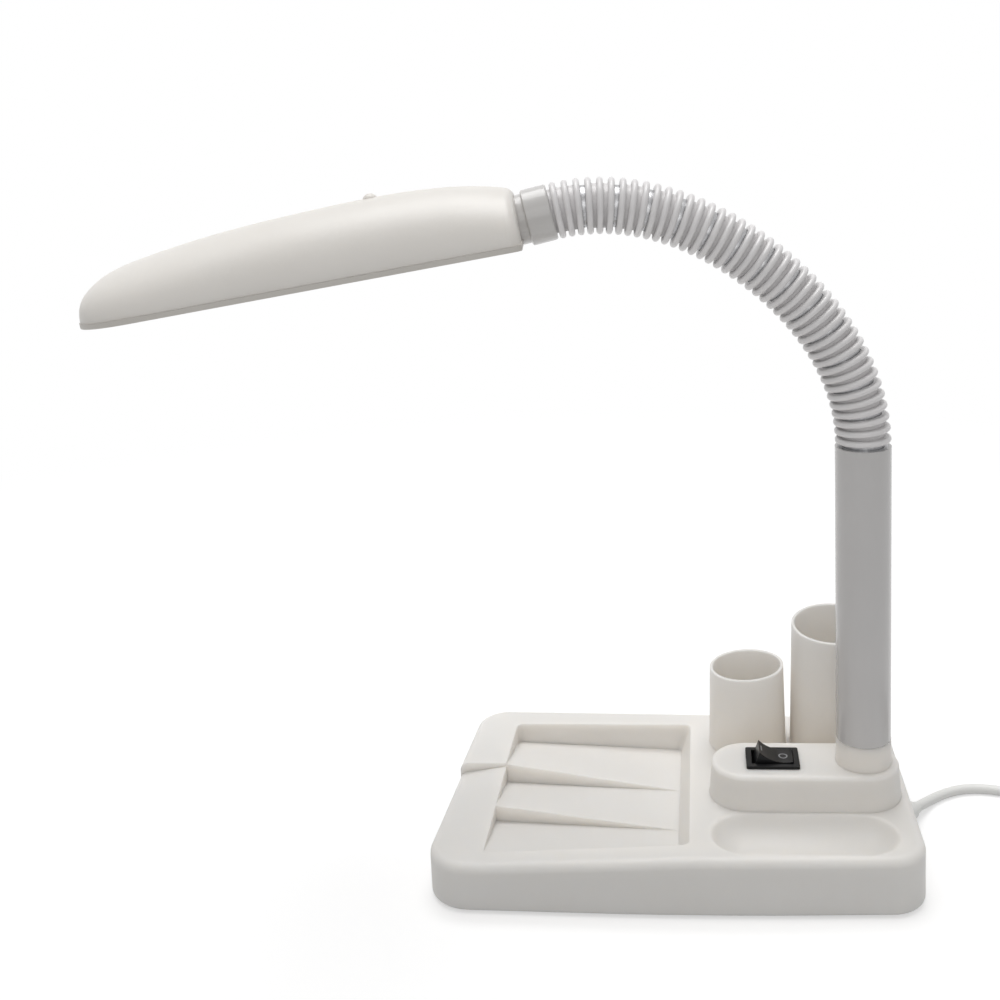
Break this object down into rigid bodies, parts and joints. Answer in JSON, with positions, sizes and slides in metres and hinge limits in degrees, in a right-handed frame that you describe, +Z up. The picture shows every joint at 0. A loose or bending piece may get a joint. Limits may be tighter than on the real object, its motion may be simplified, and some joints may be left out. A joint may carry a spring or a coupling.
{
  "type": "desk lamp with pen tray base",
  "caption": "Plug-in LED desk lamp: gooseneck on a short column, long arched head, and a flat base with pen cups, stepped pen tray, oval dish and rocker switch.",
  "frame": {"origin": "centre of the lamp's box, without its cord, at the table", "axes": "+Z up, +X from the lamp's head towards the column, +Y towards the back of the base"},
  "size_m": [0.4237, 0.1316, 0.2711],
  "materials": {
    "cream_plastic": "satin moulded ABS",
    "cover_plastic": "matte moulded ABS",
    "feet_rubber": "soft matte",
    "zinc_steel": "zinc plated",
    "switch_black": "black, slightly glossy",
    "terminal_brass": "plain",
    "column_paint": "glossy light grey",
    "sleeve_plastic": "glossy light grey",
    "core_steel": "plain",
    "collar_paint": "glossy light grey",
    "frame_plastic": "satin moulded ABS",
    "diffuser_plastic": "milky",
    "reflector_white": "white",
    "board_white": "white solder mask",
    "led_yellow": "phosphor yellow",
    "lead_red": "wire insulation",
    "cord_white": "soft PVC",
    "plug_nickel": "nickel plated"
  },
  "bodies": {
    "base": {"base_shell": "cream_plastic", "base_cover": "cover_plastic", "ballast_plate": "zinc_steel", "base_screws": "zinc_steel", "switch_housing": "switch_black", "switch_terminals": "terminal_brass", "column_tube": "column_paint", "column_rod": "zinc_steel", "column_washer": "zinc_steel", "column_nut": "zinc_steel", "neck_anchor": "core_steel", "base_leads": "lead_red", "cord_grip": "cord_white", "power_cord": "cord_white", "cord_coil": "cord_white", "cord_tail": "cord_white", "plug_body": "cord_white", "plug_shell": "plug_nickel", "rubber_feet": "feet_rubber"},
    "rocker": {"switch_rocker": "switch_black"},
    "neck_core_01": {"gooseneck_core_01": "core_steel"},
    "neck_section_01": {"gooseneck_sleeve_01": "sleeve_plastic"},
    "neck_core_02": {"gooseneck_core_02": "core_steel"},
    "neck_section_02": {"gooseneck_sleeve_02": "sleeve_plastic"},
    "neck_core_03": {"gooseneck_core_03": "core_steel"},
    "neck_section_03": {"gooseneck_sleeve_03": "sleeve_plastic"},
    "neck_core_04": {"gooseneck_core_04": "core_steel"},
    "neck_section_04": {"gooseneck_sleeve_04": "sleeve_plastic"},
    "neck_core_05": {"gooseneck_core_05": "core_steel"},
    "neck_section_05": {"gooseneck_sleeve_05": "sleeve_plastic"},
    "neck_core_06": {"gooseneck_core_06": "core_steel"},
    "neck_section_06": {"gooseneck_sleeve_06": "sleeve_plastic"},
    "neck_core_07": {"gooseneck_core_07": "core_steel"},
    "neck_section_07": {"gooseneck_sleeve_07": "sleeve_plastic"},
    "neck_core_08": {"gooseneck_core_08": "core_steel"},
    "neck_section_08": {"gooseneck_sleeve_08": "sleeve_plastic"},
    "neck_core_09": {"gooseneck_core_09": "core_steel"},
    "neck_section_09": {"gooseneck_sleeve_09": "sleeve_plastic"},
    "neck_core_10": {"gooseneck_core_10": "core_steel"},
    "neck_section_10": {"gooseneck_sleeve_10": "sleeve_plastic"},
    "neck_core_11": {"gooseneck_core_11": "core_steel"},
    "neck_section_11": {"gooseneck_sleeve_11": "sleeve_plastic"},
    "neck_core_12": {"gooseneck_core_12": "core_steel"},
    "neck_section_12": {"gooseneck_sleeve_12": "sleeve_plastic"},
    "neck_core_13": {"gooseneck_core_13": "core_steel"},
    "neck_section_13": {"gooseneck_sleeve_13": "sleeve_plastic"},
    "neck_core_14": {"gooseneck_core_14": "core_steel"},
    "lamp_head": {"gooseneck_sleeve_14": "sleeve_plastic", "neck_collar": "collar_paint", "neck_stub": "collar_paint", "head_shell": "cream_plastic", "head_frame": "frame_plastic", "head_bracket": "zinc_steel", "screw_cap": "cream_plastic", "diffuser": "diffuser_plastic", "reflector": "reflector_white", "led_board": "board_white", "leds": "led_yellow", "head_screws": "zinc_steel", "head_leads": "lead_red"}
  },
  "joints": [
    {"name": "switch_rock", "type": "hinge", "parent": "base", "child": "rocker", "pos_m": [0.09798, -0.00723, 0.036], "axis": [0, -1, 0], "range_deg": [0, 32]},
    {"name": "neck_sway_01", "type": "hinge", "parent": "base", "child": "neck_core_01", "pos_m": [0.13407, -0.00673, 0.16637], "axis": [-0.9999, -0.0006, -0.0105], "range_deg": [-3.4, 3.4]},
    {"name": "neck_bend_01", "type": "hinge", "parent": "neck_core_01", "child": "neck_section_01", "pos_m": [0.13407, -0.00673, 0.16637], "axis": [0.0006, -1, 0], "range_deg": [-9.3, 3.4]},
    {"name": "neck_sway_02", "type": "hinge", "parent": "neck_section_01", "child": "neck_core_02", "pos_m": [0.133, -0.00674, 0.17816], "axis": [-0.9855, -0.0091, -0.1697], "range_deg": [-3.41, 3.41]},
    {"name": "neck_bend_02", "type": "hinge", "parent": "neck_core_02", "child": "neck_section_02", "pos_m": [0.133, -0.00674, 0.17816], "axis": [0.0092, -1, 0], "range_deg": [-9.09, 3.33]},
    {"name": "neck_sway_03", "type": "hinge", "parent": "neck_section_02", "child": "neck_core_03", "pos_m": [0.1301, -0.00678, 0.18964], "axis": [-0.948, -0.017, -0.318], "range_deg": [-3.41, 3.41]},
    {"name": "neck_bend_03", "type": "hinge", "parent": "neck_core_03", "child": "neck_section_03", "pos_m": [0.1301, -0.00678, 0.18964], "axis": [0.0179, -0.9998, 0], "range_deg": [-8.53, 3.12]},
    {"name": "neck_sway_04", "type": "hinge", "parent": "neck_section_03", "child": "neck_core_04", "pos_m": [0.12554, -0.00688, 0.20057], "axis": [-0.8937, -0.0238, -0.4481], "range_deg": [-3.41, 3.41]},
    {"name": "neck_bend_04", "type": "hinge", "parent": "neck_core_04", "child": "neck_section_04", "pos_m": [0.12554, -0.00688, 0.20057], "axis": [0.0266, -0.9996, 0], "range_deg": [-7.73, 2.83]},
    {"name": "neck_sway_05", "type": "hinge", "parent": "neck_section_04", "child": "neck_core_05", "pos_m": [0.11956, -0.00707, 0.21079], "axis": [-0.8299, -0.0293, -0.5572], "range_deg": [-3.41, 3.41]},
    {"name": "neck_bend_05", "type": "hinge", "parent": "neck_core_05", "child": "neck_section_05", "pos_m": [0.11956, -0.00707, 0.21079], "axis": [0.0353, -0.9994, 0], "range_deg": [-6.86, 2.51]},
    {"name": "neck_sway_06", "type": "hinge", "parent": "neck_section_05", "child": "neck_core_06", "pos_m": [0.11242, -0.00735, 0.22023], "axis": [-0.7623, -0.0335, -0.6463], "range_deg": [-3.41, 3.41]},
    {"name": "neck_bend_06", "type": "hinge", "parent": "neck_core_06", "child": "neck_section_06", "pos_m": [0.11242, -0.00735, 0.22023], "axis": [0.0439, -0.999, 0], "range_deg": [-6.07, 2.23]},
    {"name": "neck_sway_07", "type": "hinge", "parent": "neck_section_06", "child": "neck_core_07", "pos_m": [0.10433, -0.00774, 0.22887], "axis": [-0.6937, -0.0365, -0.7193], "range_deg": [-3.41, 3.41]},
    {"name": "neck_bend_07", "type": "hinge", "parent": "neck_core_07", "child": "neck_section_07", "pos_m": [0.10433, -0.00774, 0.22887], "axis": [0.0526, -0.9986, 0], "range_deg": [-5.54, 2.03]},
    {"name": "neck_sway_08", "type": "hinge", "parent": "neck_section_07", "child": "neck_core_08", "pos_m": [0.09544, -0.00825, 0.23669], "axis": [-0.6231, -0.0382, -0.7812], "range_deg": [-3.41, 3.41]},
    {"name": "neck_bend_08", "type": "hinge", "parent": "neck_core_08", "child": "neck_section_08", "pos_m": [0.09544, -0.00825, 0.23669], "axis": [0.0612, -0.9981, 0], "range_deg": [-5.35, 1.96]},
    {"name": "neck_sway_09", "type": "hinge", "parent": "neck_section_08", "child": "neck_core_09", "pos_m": [0.08587, -0.00888, 0.24364], "axis": [-0.5469, -0.0383, -0.8363], "range_deg": [-3.41, 3.41]},
    {"name": "neck_bend_09", "type": "hinge", "parent": "neck_core_09", "child": "neck_section_09", "pos_m": [0.08587, -0.00888, 0.24364], "axis": [0.0699, -0.9976, 0], "range_deg": [-5.56, 2.04]},
    {"name": "neck_sway_10", "type": "hinge", "parent": "neck_section_09", "child": "neck_core_10", "pos_m": [0.07568, -0.00964, 0.24964], "axis": [-0.4601, -0.0363, -0.8871], "range_deg": [-3.41, 3.41]},
    {"name": "neck_bend_10", "type": "hinge", "parent": "neck_core_10", "child": "neck_section_10", "pos_m": [0.07568, -0.00964, 0.24964], "axis": [0.0786, -0.9969, 0], "range_deg": [-6.11, 2.24]},
    {"name": "neck_sway_11", "type": "hinge", "parent": "neck_section_10", "child": "neck_core_11", "pos_m": [0.06493, -0.01053, 0.25452], "axis": [-0.3577, -0.0313, -0.9333], "range_deg": [-3.41, 3.41]},
    {"name": "neck_bend_11", "type": "hinge", "parent": "neck_core_11", "child": "neck_section_11", "pos_m": [0.06493, -0.01053, 0.25452], "axis": [0.0872, -0.9962, 0], "range_deg": [-6.9, 2.53]},
    {"name": "neck_sway_12", "type": "hinge", "parent": "neck_section_11", "child": "neck_core_12", "pos_m": [0.05368, -0.01157, 0.25808], "axis": [-0.2369, -0.0228, -0.9713], "range_deg": [-3.41, 3.41]},
    {"name": "neck_bend_12", "type": "hinge", "parent": "neck_core_12", "child": "neck_section_12", "pos_m": [0.05368, -0.01157, 0.25808], "axis": [0.0958, -0.9954, 0], "range_deg": [-7.77, 2.85]},
    {"name": "neck_sway_13", "type": "hinge", "parent": "neck_section_12", "child": "neck_core_13", "pos_m": [0.04207, -0.01274, 0.26009], "axis": [-0.0978, -0.0103, -0.9951], "range_deg": [-3.41, 3.41]},
    {"name": "neck_bend_13", "type": "hinge", "parent": "neck_core_13", "child": "neck_section_13", "pos_m": [0.04207, -0.01274, 0.26009], "axis": [0.1045, -0.9945, 0], "range_deg": [-8.56, 3.14]},
    {"name": "neck_sway_14", "type": "hinge", "parent": "neck_section_13", "child": "neck_core_14", "pos_m": [0.03031, -0.01402, 0.26035], "axis": [0.0546, 0.0062, -0.9985], "range_deg": [-3.41, 3.41]},
    {"name": "neck_bend_14", "type": "hinge", "parent": "neck_core_14", "child": "lamp_head", "pos_m": [0.03031, -0.01402, 0.26035], "axis": [0.1131, -0.9936, 0], "range_deg": [-9.11, 3.34]}
  ],
  "couplings": [
    {"joint": "neck_sway_02", "follows": "neck_sway_01", "ratio": 1},
    {"joint": "neck_bend_02", "follows": "neck_bend_01", "ratio": 0.97652},
    {"joint": "neck_sway_03", "follows": "neck_sway_01", "ratio": 1},
    {"joint": "neck_bend_03", "follows": "neck_bend_01", "ratio": 0.91604},
    {"joint": "neck_sway_04", "follows": "neck_sway_01", "ratio": 1},
    {"joint": "neck_bend_04", "follows": "neck_bend_01", "ratio": 0.8304},
    {"joint": "neck_sway_05", "follows": "neck_sway_01", "ratio": 1},
    {"joint": "neck_bend_05", "follows": "neck_bend_01", "ratio": 0.73635},
    {"joint": "neck_sway_06", "follows": "neck_sway_01", "ratio": 1},
    {"joint": "neck_bend_06", "follows": "neck_bend_01", "ratio": 0.65231},
    {"joint": "neck_sway_07", "follows": "neck_sway_01", "ratio": 1},
    {"joint": "neck_bend_07", "follows": "neck_bend_01", "ratio": 0.59472},
    {"joint": "neck_sway_08", "follows": "neck_sway_01", "ratio": 1},
    {"joint": "neck_bend_08", "follows": "neck_bend_01", "ratio": 0.57487},
    {"joint": "neck_sway_09", "follows": "neck_sway_01", "ratio": 1},
    {"joint": "neck_bend_09", "follows": "neck_bend_01", "ratio": 0.59662},
    {"joint": "neck_sway_10", "follows": "neck_sway_01", "ratio": 1},
    {"joint": "neck_bend_10", "follows": "neck_bend_01", "ratio": 0.65574},
    {"joint": "neck_sway_11", "follows": "neck_sway_01", "ratio": 1},
    {"joint": "neck_bend_11", "follows": "neck_bend_01", "ratio": 0.74064},
    {"joint": "neck_sway_12", "follows": "neck_sway_01", "ratio": 1},
    {"joint": "neck_bend_12", "follows": "neck_bend_01", "ratio": 0.8347},
    {"joint": "neck_sway_13", "follows": "neck_sway_01", "ratio": 1},
    {"joint": "neck_bend_13", "follows": "neck_bend_01", "ratio": 0.91952},
    {"joint": "neck_sway_14", "follows": "neck_sway_01", "ratio": 1},
    {"joint": "neck_bend_14", "follows": "neck_bend_01", "ratio": 0.9785}
  ]
}
